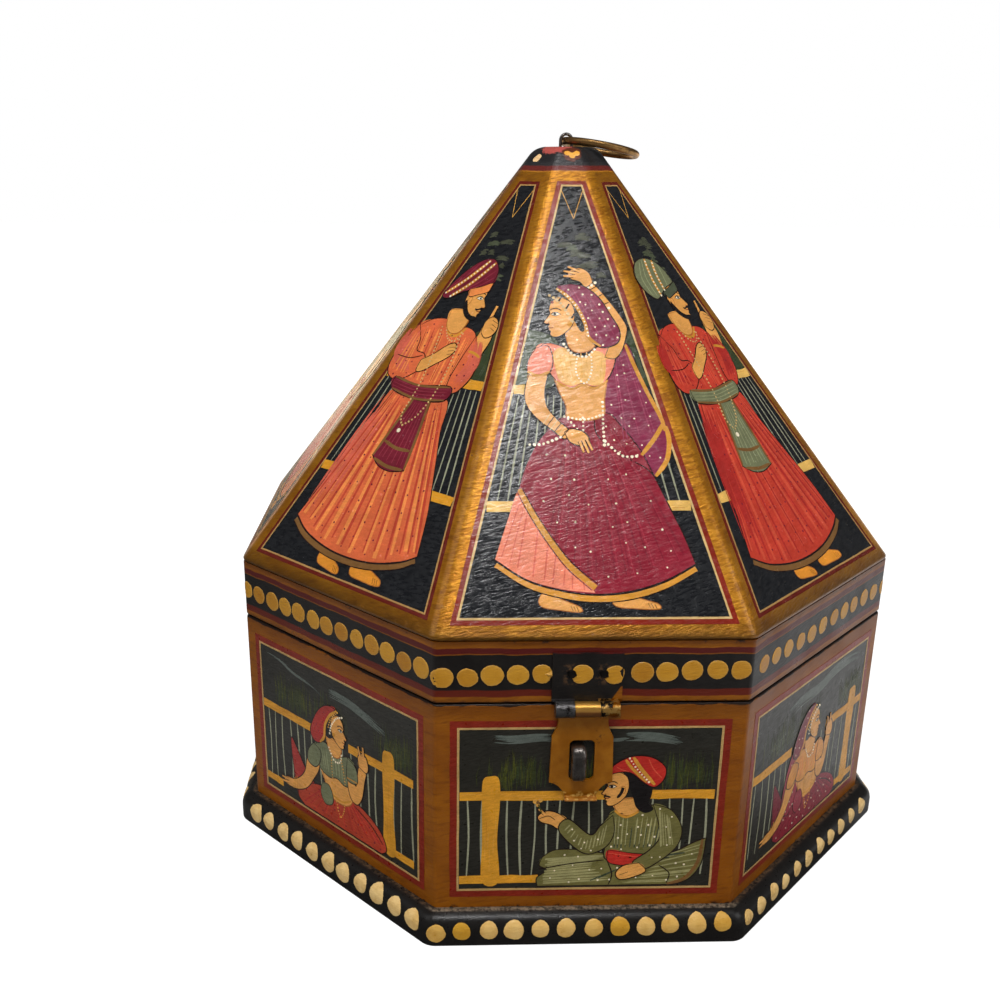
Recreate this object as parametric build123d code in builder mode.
from build123d import *
import math
import os

os.makedirs("parts", exist_ok=True)

# Eight-sided painted casket: mitred boards, pyramid lid, front hasp, carry ring.
# Origin: middle of the underside. Front faces -Y, +Z is up. Millimetres.

# ---------------------------------------------------------------- box
side_names = [
    "front", "front_right", "right", "back_right",
    "back", "back_left", "left", "front_left",
]
side_count = len(side_names)
sector_angle = 360 / side_count
front_azimuth = -90

body_flats = 196.0          # across the flats of the walls and the lid rim
wall_thickness = 7.0
wall_height = 61.7
corner_round = 1.6          # softened upright corners
edge_round = 0.7            # softened edges along the seam

plinth_overhang = 5.0
plinth_height = 8.8
plinth_strip_width = 16.0
plinth_round = 4.2          # quarter round on top of the foot moulding
plinth_corner_round = 5.5   # softened upright corners of the foot
plinth_toe_round = 0.6

floor_thickness = 5.0
floor_play = 0.3

# ---------------------------------------------------------------- lid
seam_gap = 0.3
rim_height = 17.2
roof_pitch = 53.1           # degrees up from level
roof_thickness = 6.0
roof_overhang = 1.1         # sharp edge of the roof boards past the rim
nose_round = 0.9            # rounded lower edge of the roof boards
ridge_round = 6.0
cap_flats = 25.0            # across the flats at the foot of the cap
cap_height = 4.4
cap_round = 6.0
stem_radius = 4.4
stem_length = 9.0

# ---------------------------------------------------------------- carry ring and its eye
eye_wire = 0.95
eye_inner_radius = 1.4
eye_rise = 1.9              # middle of the eye's arch above the cap
eye_clinch = 3.2            # legs bent outwards under the stem
eye_bend = 1.0
eye_hole_play = 0.05
ring_wire = 2.2
ring_outer_diameter = 25.0
ring_turn = 16.0            # degrees, the ring lies to the right and a little to the back
ring_drop = 10.5            # degrees, how far it slopes down from its eye

# ---------------------------------------------------------------- hasp
hasp_x = -1.7
leaf_width = 18.0
leaf_height = 14.2
leaf_thickness = 0.8
barrel_radius = 2.1
barrel_length = 16.4
barrel_knuckle = 6.4        # middle knuckle, on the swinging plate
knuckle_play = 0.15
barrel_stand_off = 0.3      # air between the barrel and the box wall
barrel_below_rim = 0.6      # barrel axis under the lid rim's lower edge
pin_radius = 0.95
pin_play = 0.05
plate_thickness = 0.9
plate_stand_off = 0.5
plate_shift = -0.7          # the plate hangs a little left of its knuckle
neck_width = 13.2
shoulder_width = 15.9
plate_width = 16.6
tongue_width = 8.4
neck_drop = 2.9             # all drops are measured down from the barrel axis
shoulder_drop = 8.5
plate_drop = 21.8
tongue_drop = 25.4
lip_radius = 1.5            # outside of the curled finger lip
lip_turn = 150
slot_width = 6.6
slot_height = 11.8
slot_corner = 1.4
slot_drop = 15.3            # middle of the slot
staple_width = 3.8
staple_height = 10.0
staple_thickness = 1.3
staple_reach = 5.0          # how far the staple stands out of the wall
staple_leg = 5.5            # how far its legs go into the wall
staple_bend = 2.4
staple_play = 0.05
staple_shift = -1.75        # the staple stands left of the barrel's middle
staple_edge = 1.1           # rounding of the staple's outer edges
nail_spacing = 8.2
nail_radius = 0.6
nail_length = 5.0
nail_head_radius = 1.2
nail_head_height = 0.45
nail_head_slope = 20         # degrees

# ---------------------------------------------------------------- rear hinges
hinge_spacing = 44.0
hinge_width = 16.0
hinge_leaf_height = 11.0
hinge_leaf_thickness = 0.9
hinge_barrel_radius = 1.8
hinge_pin_radius = 0.85
hinge_pin_play = 0.05
hinge_knuckle = 5.6         # middle knuckle, on the lower leaf
hinge_knuckle_play = 0.15
screw_spacing = 9.0
screw_from_seam = 6.8
screw_head_radius = 1.5
screw_radius = 0.75
screw_length = 5.6
screw_play = 0.05

# ---------------------------------------------------------------- heights and lines that follow
half_turn = math.radians(sector_angle / 2)
body_half = body_flats / 2
plinth_flats = body_flats + 2 * plinth_overhang
seam_height = plinth_height + wall_height
rim_base = seam_height + seam_gap
roof_base = rim_base + rim_height
roof_flats = body_flats + 2 * roof_overhang
roof_taper = 90 - roof_pitch
roof_slope = math.tan(math.radians(roof_pitch))
roof_rise = (roof_flats - cap_flats) / 2 * roof_slope
roof_wall_level = roof_thickness / math.sin(math.radians(roof_pitch))
cap_base = roof_base + roof_rise
cap_top = cap_base + cap_height
eye_level = cap_top + eye_rise
eye_leg_offset = eye_inner_radius + eye_wire / 2


def octagon(flats, mode=Mode.ADD):
    """Regular octagon whose flats face the eight sides of the box."""
    return RegularPolygon(
        radius=flats / 2, side_count=side_count, major_radius=False,
        rotation=sector_angle / 2, mode=mode,
    )


def upright_edges(solid, flats):
    """Corner edges of the outer skin, level edges left out."""
    corner = flats / 2 / math.cos(half_turn) - wall_thickness / 2
    level = 0.01
    return solid.edges().filter_by(
        lambda e: abs((e @ 1).Z - (e @ 0).Z) > level
        and math.hypot((e @ 0).X, (e @ 0).Y) > corner
    )


def outer_edges_at(solid, height, reach):
    """Edges of the outline at one height, from a given reach outwards."""
    near = 0.01
    return solid.edges().filter_by(
        lambda e: abs((e @ 0).Z - height) < near and abs((e @ 1).Z - height) < near
        and math.hypot(e.center().X, e.center().Y) > reach
    )


def cut_board(shell, index):
    """One board of an eight-sided shell, cut at its two mitres."""
    azimuth = front_azimuth + index * sector_angle
    with BuildPart() as board:
        add(shell.part)
        for turn in (-1, 1):
            normal = math.radians(azimuth + turn * (sector_angle / 2 - 90))
            mitre = Plane(origin=(0, 0, 0), z_dir=(math.cos(normal), math.sin(normal), 0))
            split(bisect_by=mitre, keep=Keep.TOP)
    return board.part


def save(piece, name):
    """Label a finished piece and write its file."""
    piece.label = name
    export_step(piece, f"parts/{name}.step")


def save_boards(shell, prefix):
    """Write the eight mitred boards of a shell."""
    for index, side in enumerate(side_names):
        save(cut_board(shell, index), f"{prefix}_{side}")


# ---------------------------------------------------------------- foot moulding
with BuildPart() as plinth_shell:
    with BuildSketch():
        octagon(plinth_flats)
    extrude(amount=plinth_height)
    fillet(upright_edges(plinth_shell, plinth_flats), plinth_corner_round)
    fillet(outer_edges_at(plinth_shell, plinth_height, body_half), plinth_round)
    fillet(outer_edges_at(plinth_shell, 0, body_half), plinth_toe_round)
    with BuildSketch():
        octagon(plinth_flats - 2 * plinth_strip_width)
    extrude(amount=plinth_height, mode=Mode.SUBTRACT)
save_boards(plinth_shell, "plinth")

# ---------------------------------------------------------------- floor board
with BuildPart() as floor_board:
    with BuildSketch(Plane.XY.offset(plinth_height)):
        octagon(body_flats - 2 * (wall_thickness + floor_play))
    extrude(amount=floor_thickness)
save(floor_board.part, "floor_board")

# ---------------------------------------------------------------- hardware places
hasp_axis_height = rim_base - barrel_below_rim
hasp_axis_y = -(body_half + barrel_stand_off + barrel_radius)
plate_back_y = -(body_half + plate_stand_off)
slot_level = hasp_axis_height - slot_drop
hinge_axis_height = seam_height + seam_gap / 2
hinge_axis_y = body_half + hinge_barrel_radius
hinge_places = (-hinge_spacing / 2, hinge_spacing / 2)
screw_places = [x + s * screw_spacing / 2 for x in hinge_places for s in (-1, 1)]
plate_x = hasp_x + plate_shift
staple_x = hasp_x + staple_shift
nail_places = [hasp_x + s * nail_spacing / 2 for s in (-1, 1)]
nail_level = rim_base + rim_height / 2

front_face = Plane(origin=(0, -body_half, 0), x_dir=(1, 0, 0), z_dir=(0, -1, 0))
back_face = Plane(origin=(0, body_half, 0), x_dir=(-1, 0, 0), z_dir=(0, 1, 0))


def pilot_holes(plane, places, level, radius, depth):
    """Round blind holes bored into a face of the box."""
    with BuildSketch(plane) as holes:
        with Locations(*[(x, level) for x in places]):
            Circle(radius)
    extrude(holes.sketch, amount=-depth, mode=Mode.SUBTRACT)


# ---------------------------------------------------------------- walls
with BuildPart() as wall_shell:
    with BuildSketch(Plane.XY.offset(plinth_height)):
        octagon(body_flats)
    extrude(amount=wall_height)
    fillet(upright_edges(wall_shell, body_flats), corner_round)
    fillet(outer_edges_at(wall_shell, seam_height, 0), edge_round)
    with BuildSketch(Plane.XY.offset(plinth_height)):
        octagon(body_flats - 2 * wall_thickness)
    extrude(amount=wall_height, mode=Mode.SUBTRACT)
    # slots for the two legs of the hasp staple
    leg_offset = (staple_height - staple_thickness) / 2
    with BuildSketch(front_face):
        with Locations((staple_x, slot_level + leg_offset), (staple_x, slot_level - leg_offset)):
            Rectangle(staple_width + 2 * staple_play, staple_thickness + 2 * staple_play)
    extrude(amount=-(staple_leg + staple_play), mode=Mode.SUBTRACT)
    pilot_holes(back_face, screw_places, hinge_axis_height - screw_from_seam,
                screw_radius + screw_play, screw_length + screw_play)
save_boards(wall_shell, "wall")

# ---------------------------------------------------------------- lid rim
with BuildPart() as rim_shell:
    with BuildSketch(Plane.XY.offset(rim_base)):
        octagon(body_flats)
    extrude(amount=rim_height)
    fillet(upright_edges(rim_shell, body_flats), corner_round)
    fillet(outer_edges_at(rim_shell, rim_base, 0), edge_round)
    with BuildSketch(Plane.XY.offset(rim_base)):
        octagon(body_flats - 2 * wall_thickness)
    extrude(amount=rim_height, mode=Mode.SUBTRACT)
    pilot_holes(front_face, nail_places, nail_level, nail_radius + screw_play, nail_length)
    pilot_holes(back_face, screw_places, hinge_axis_height + screw_from_seam,
                screw_radius + screw_play, screw_length + screw_play)
save_boards(rim_shell, "rim")

# ---------------------------------------------------------------- pyramid roof
with BuildPart() as roof_shell:
    with BuildSketch(Plane.XY.offset(roof_base)):
        octagon(roof_flats)
    extrude(amount=roof_rise, taper=roof_taper)
    ridges = roof_shell.edges().filter_by(lambda e: abs((e @ 1).Z - (e @ 0).Z) > 1)
    fillet(ridges, ridge_round)
    fillet(outer_edges_at(roof_shell, roof_base, 0), nose_round)
    with BuildSketch(Plane.XY.offset(roof_base)):
        octagon(roof_flats - 2 * roof_wall_level)
    extrude(amount=roof_rise, taper=roof_taper, mode=Mode.SUBTRACT)
save_boards(roof_shell, "roof")

# ---------------------------------------------------------------- cap
with BuildPart() as cap_block:
    with BuildSketch(Plane.XY.offset(cap_base)):
        octagon(cap_flats)
    extrude(amount=cap_height, taper=roof_taper)
    cap_ridges = cap_block.edges().filter_by(lambda e: abs((e @ 1).Z - (e @ 0).Z) > 1)
    fillet(cap_ridges, ridge_round)
    fillet(outer_edges_at(cap_block, cap_top, 0), cap_round)
    with BuildSketch(Plane.XY.offset(cap_base)):
        Circle(stem_radius)
    extrude(amount=-stem_length)
    with BuildSketch(Plane.XY.offset(cap_top)):
        with PolarLocations(eye_leg_offset, 2, start_angle=ring_turn):
            Circle(eye_wire / 2 + eye_hole_play)
    extrude(amount=-(cap_height + stem_length), mode=Mode.SUBTRACT)
save(cap_block.part, "cap_block")

# ---------------------------------------------------------------- eye of the carry ring
turn = math.radians(ring_turn)
ring_away = Vector(math.cos(turn), math.sin(turn), 0)
swing_axis = Vector(math.sin(turn), -math.cos(turn), 0)
clinch_level = cap_base - stem_length - eye_bend
arch_top = eye_level + eye_leg_offset
arch_bend = 0.99 * eye_leg_offset      # just short of a full half circle
with BuildPart() as ring_eye:
    with BuildLine(Plane(origin=(0, 0, 0), x_dir=ring_away, z_dir=swing_axis)) as eye_path:
        FilletPolyline(
            (-eye_leg_offset - eye_clinch, clinch_level),
            (-eye_leg_offset, clinch_level),
            (-eye_leg_offset, arch_top),
            (eye_leg_offset, arch_top),
            (eye_leg_offset, clinch_level),
            (eye_leg_offset + eye_clinch, clinch_level),
            radius=[eye_bend, arch_bend, arch_bend, eye_bend],
        )
    with BuildSketch(Plane(origin=eye_path.line @ 0, z_dir=eye_path.line % 0)):
        Circle(eye_wire / 2)
    sweep()
save(ring_eye.part, "ring_eye")

# ---------------------------------------------------------------- carry ring
ring_radius = (ring_outer_diameter - ring_wire) / 2
drop = math.radians(ring_drop)
ring_out = ring_away * math.cos(drop) + Vector(0, 0, -math.sin(drop))
ring_normal = swing_axis.cross(ring_out).normalized()
ring_middle = Vector(0, 0, eye_level) + ring_out * ring_radius
with BuildPart(Plane(origin=ring_middle, x_dir=ring_out, z_dir=ring_normal)) as carry_ring:
    Torus(ring_radius, ring_wire / 2)
save(carry_ring.part, "carry_ring")


def knuckle(axis_y, axis_z, middle_x, length, radius, bore):
    """One hinge knuckle along X with its pin bore."""
    across = Plane(origin=(middle_x - length / 2, axis_y, axis_z), z_dir=(1, 0, 0))
    with BuildSketch(across) as section:
        Circle(radius)
        Circle(bore, mode=Mode.SUBTRACT)
    extrude(section.sketch, amount=length)


def clear_bore(axis_y, axis_z, middle_x, length, radius):
    """Open a round way along X through everything at a hinge axis."""
    across = Plane(origin=(middle_x - length / 2, axis_y, axis_z), z_dir=(1, 0, 0))
    with BuildSketch(across) as section:
        Circle(radius)
    extrude(section.sketch, amount=length, mode=Mode.SUBTRACT)


# ---------------------------------------------------------------- hasp leaf on the lid rim
side_knuckle = (barrel_length - barrel_knuckle) / 2 - knuckle_play
side_knuckle_offset = (barrel_knuckle + barrel_length) / 4 + knuckle_play / 2
leaf_top = rim_base + leaf_height
leaf_foot = hasp_axis_height
with BuildPart() as hasp_leaf:
    with BuildSketch(front_face):
        with Locations((hasp_x, (leaf_top + rim_base) / 2 + edge_round / 2)):
            Rectangle(leaf_width, leaf_height - edge_round)
        for place in (-side_knuckle_offset, side_knuckle_offset):
            with Locations((hasp_x + place, (leaf_foot + rim_base + edge_round) / 2)):
                Rectangle(side_knuckle, rim_base + edge_round - leaf_foot)
    extrude(amount=leaf_thickness)
    for place in (-side_knuckle_offset, side_knuckle_offset):
        knuckle(hasp_axis_y, hasp_axis_height, hasp_x + place, side_knuckle,
                barrel_radius, pin_radius)
    clear_bore(hasp_axis_y, hasp_axis_height, hasp_x, barrel_length, pin_radius)
    # the leaf's feet stay off the wall of the box
    with BuildSketch(Plane(origin=(hasp_x, -body_half, hasp_axis_height), z_dir=(0, -1, 0))):
        Rectangle(barrel_length, 2 * barrel_below_rim)
    extrude(amount=barrel_stand_off, mode=Mode.SUBTRACT)
    pilot_holes(front_face.offset(leaf_thickness), nail_places, nail_level,
                nail_radius + screw_play, leaf_thickness)
save(hasp_leaf.part, "hasp_leaf")

# ---------------------------------------------------------------- hasp pin
with BuildPart() as hasp_pin:
    with BuildSketch(Plane(origin=(hasp_x - barrel_length / 2, hasp_axis_y, hasp_axis_height),
                           z_dir=(1, 0, 0))):
        Circle(pin_radius)
    extrude(amount=barrel_length)
    chamfer(hasp_pin.edges(), pin_radius / 4)
save(hasp_pin.part, "hasp_pin")

# ---------------------------------------------------------------- hasp nails
with BuildPart() as hasp_nails:
    with BuildSketch(front_face.offset(leaf_thickness)):
        with Locations(*[(x, nail_level) for x in nail_places]):
            Circle(nail_radius)
    extrude(amount=-nail_length)
    with BuildSketch(front_face.offset(leaf_thickness)):
        with Locations(*[(x, nail_level) for x in nail_places]):
            Circle(nail_head_radius)
    extrude(amount=nail_head_height, taper=nail_head_slope)
save(hasp_nails.part, "hasp_nails")

# ---------------------------------------------------------------- swinging hasp plate
neck = hasp_axis_height - neck_drop
shoulder = hasp_axis_height - shoulder_drop
corner = hasp_axis_height - plate_drop
tongue = hasp_axis_height - tongue_drop
tongue_half = tongue_width / 2
plate_half = plate_width / 2
with BuildPart() as hasp_plate:
    plate_plane = Plane(origin=(plate_x, plate_back_y, 0), x_dir=(1, 0, 0), z_dir=(0, -1, 0))
    with BuildSketch(plate_plane):
        with BuildLine():
            # right half: neck, hollow shoulder, side, hollow corner, tongue
            Line((0, neck), (neck_width / 2, neck))
            Spline(
                (neck_width / 2, neck), (shoulder_width / 2, shoulder),
                tangents=((-0.35, -1), (0.55, -1)),
            )
            Line((shoulder_width / 2, shoulder), (plate_half, corner))
            Spline(
                (plate_half, corner), (tongue_half, tongue),
                tangents=((-1, -0.15), (-0.5, -1)),
            )
            Line((tongue_half, tongue), (0, tongue))
            mirror(about=Plane.YZ)
        make_face()
        with Locations((-plate_shift, hasp_axis_height - neck_drop / 2)):
            Rectangle(barrel_knuckle, neck_drop)
        with Locations((0, slot_level)):
            RectangleRounded(slot_width, slot_height, slot_corner, mode=Mode.SUBTRACT)
    extrude(amount=plate_thickness)
    knuckle(hasp_axis_y, hasp_axis_height, hasp_x, barrel_knuckle,
            barrel_radius, pin_radius + pin_play)
    clear_bore(hasp_axis_y, hasp_axis_height, hasp_x, barrel_length, pin_radius + pin_play)
    # finger lip, curled out and up from the tongue
    with BuildSketch(Plane(origin=(plate_x, plate_back_y, tongue), x_dir=(0, 1, 0), z_dir=(1, 0, 0))):
        with BuildLine():
            lip_outer = CenterArc((-lip_radius, 0), lip_radius, 0, -lip_turn)
            lip_inner = CenterArc((-lip_radius, 0), lip_radius - plate_thickness, 0, -lip_turn)
            Line(lip_outer @ 0, lip_inner @ 0)
            Line(lip_outer @ 1, lip_inner @ 1)
        make_face()
    extrude(amount=tongue_half, both=True)
save(hasp_plate.part, "hasp_plate")

# ---------------------------------------------------------------- staple the hasp closes over
with BuildPart() as hasp_staple:
    staple_plane = Plane(origin=(staple_x, -body_half, slot_level), x_dir=(0, 1, 0), z_dir=(1, 0, 0))
    with BuildSketch(staple_plane):
        with BuildLine():
            staple_outline = FilletPolyline(
                (staple_leg, staple_height / 2),
                (-staple_reach, staple_height / 2),
                (-staple_reach, -staple_height / 2),
                (staple_leg, -staple_height / 2),
                radius=staple_bend,
            )
            Line(staple_outline @ 0, staple_outline @ 1)
        make_face()
    extrude(amount=staple_width / 2, both=True)
    leg_ends = staple_leg - body_half
    fillet(
        hasp_staple.edges().filter_by(
            lambda e: abs(abs(e.center().X - staple_x) - staple_width / 2) < 0.01 and e.center().Y < leg_ends - 0.5
        ),
        staple_edge,
    )
    with BuildSketch(staple_plane):
        with BuildLine():
            inner = staple_height / 2 - staple_thickness
            staple_hollow = FilletPolyline(
                (staple_leg, inner),
                (-staple_reach + staple_thickness, inner),
                (-staple_reach + staple_thickness, -inner),
                (staple_leg, -inner),
                radius=staple_bend - staple_thickness,
            )
            Line(staple_hollow @ 0, staple_hollow @ 1)
        make_face()
    extrude(amount=staple_width / 2, both=True, mode=Mode.SUBTRACT)
save(hasp_staple.part, "hasp_staple")


# ---------------------------------------------------------------- rear hinges
hinge_side_knuckle = (hinge_width - hinge_knuckle) / 2 - hinge_knuckle_play
hinge_side_offset = (hinge_knuckle + hinge_width) / 4 + hinge_knuckle_play / 2
screw_taper = math.degrees(math.atan((screw_head_radius - screw_radius) / hinge_leaf_thickness))


def hinge_leaf(middle_x, direction, knuckles, bore):
    """Hinge leaf on the back; direction +1 goes up the lid, -1 down the wall."""
    reach = direction * hinge_leaf_height
    screw_level = hinge_axis_height + direction * screw_from_seam
    with BuildPart() as leaf:
        with BuildSketch(back_face):
            relief = direction * (hinge_barrel_radius + hinge_knuckle_play)
            with Locations((-middle_x, hinge_axis_height + (reach + relief) / 2)):
                Rectangle(hinge_width, abs(reach - relief))
            for place, length in knuckles:
                with Locations((-middle_x - place, hinge_axis_height + relief / 2)):
                    Rectangle(length, abs(relief))
        extrude(amount=hinge_leaf_thickness)
        for place, length in knuckles:
            knuckle(hinge_axis_y, hinge_axis_height, middle_x + place, length,
                    hinge_barrel_radius, bore)
        clear_bore(hinge_axis_y, hinge_axis_height, middle_x, hinge_width, bore)
        with BuildSketch(back_face.offset(hinge_leaf_thickness)):
            with Locations(*[(-middle_x + s * screw_spacing / 2, screw_level) for s in (-1, 1)]):
                Circle(screw_head_radius + screw_play)
        extrude(amount=-hinge_leaf_thickness, taper=screw_taper, mode=Mode.SUBTRACT)
    return leaf.part


def hinge_screws(level):
    """Countersunk screws of all leaves at one level."""
    with BuildPart() as screws:
        with BuildSketch(back_face.offset(hinge_leaf_thickness)):
            with Locations(*[(x, level) for x in screw_places]):
                Circle(screw_head_radius)
        extrude(amount=-hinge_leaf_thickness, taper=screw_taper)
        with BuildSketch(back_face):
            with Locations(*[(x, level) for x in screw_places]):
                Circle(screw_radius)
        extrude(amount=-screw_length)
    return screws.part


lower_knuckles = [(0, hinge_knuckle)]
upper_knuckles = [(-hinge_side_offset, hinge_side_knuckle), (hinge_side_offset, hinge_side_knuckle)]
for hand, middle_x in zip(("left", "right"), hinge_places):
    lower = hinge_leaf(middle_x, -1, lower_knuckles, hinge_pin_radius + hinge_pin_play)
    save(lower, f"hinge_lower_{hand}")
    upper = hinge_leaf(middle_x, 1, upper_knuckles, hinge_pin_radius)
    save(upper, f"hinge_upper_{hand}")
    with BuildPart() as hinge_pin:
        with BuildSketch(Plane(origin=(middle_x - hinge_width / 2, hinge_axis_y, hinge_axis_height),
                               z_dir=(1, 0, 0))):
            Circle(hinge_pin_radius)
        extrude(amount=hinge_width)
    save(hinge_pin.part, f"hinge_pin_{hand}")
save(hinge_screws(hinge_axis_height - screw_from_seam), "hinge_screws_lower")
save(hinge_screws(hinge_axis_height + screw_from_seam), "hinge_screws_upper")

print("seam", round(seam_height, 2), "roof base", round(roof_base, 2), "cap base", round(cap_base, 2),
      "cap top", round(cap_top, 2), "eye", round(eye_level, 2))
print("hasp axis", round(hasp_axis_y, 2), round(hasp_axis_height, 2),
      "hinge axis", round(hinge_axis_y, 2), round(hinge_axis_height, 2))
